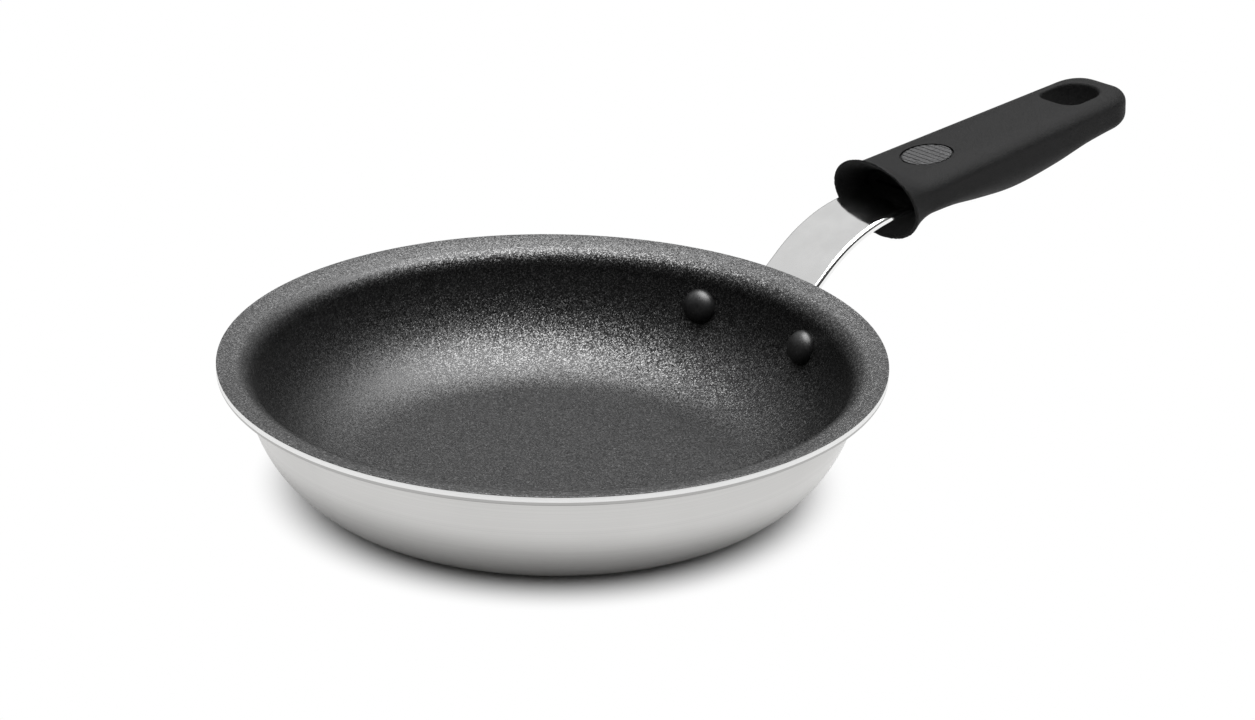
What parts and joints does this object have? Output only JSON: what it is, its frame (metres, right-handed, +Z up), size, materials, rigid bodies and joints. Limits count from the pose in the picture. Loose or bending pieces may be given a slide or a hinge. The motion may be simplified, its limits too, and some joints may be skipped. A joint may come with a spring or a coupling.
{
  "type": "omelette pan",
  "caption": "Small omelette pan with a flared rim, nonstick lining, riveted steel strap handle and a pull-off silicone grip with a hang hole.",
  "frame": {"origin": "centre of the flat base, on the surface that the pan stands on", "axes": "+X from the pan out along the handle, +Y to the left when looking out along the handle, +Z up"},
  "size_m": [0.3764, 0.21, 0.0744],
  "materials": {
    "spun_aluminium": "satin",
    "nonstick": "satin",
    "polished_steel": "polished",
    "dark_rivet": "satin",
    "black_silicone": "matte"
  },
  "bodies": {
    "pan": {"pan_body": "spun_aluminium", "nonstick_coating": "nonstick", "handle_strap": "polished_steel", "rivet_left": "dark_rivet", "rivet_right": "dark_rivet"},
    "grip": {"grip_sleeve": "black_silicone"}
  },
  "joints": [
    {"name": "grip_slide", "type": "slide", "parent": "pan", "child": "grip", "axis": [0.9973, 0, 0.0732], "range_m": [0, 0.121]}
  ]
}
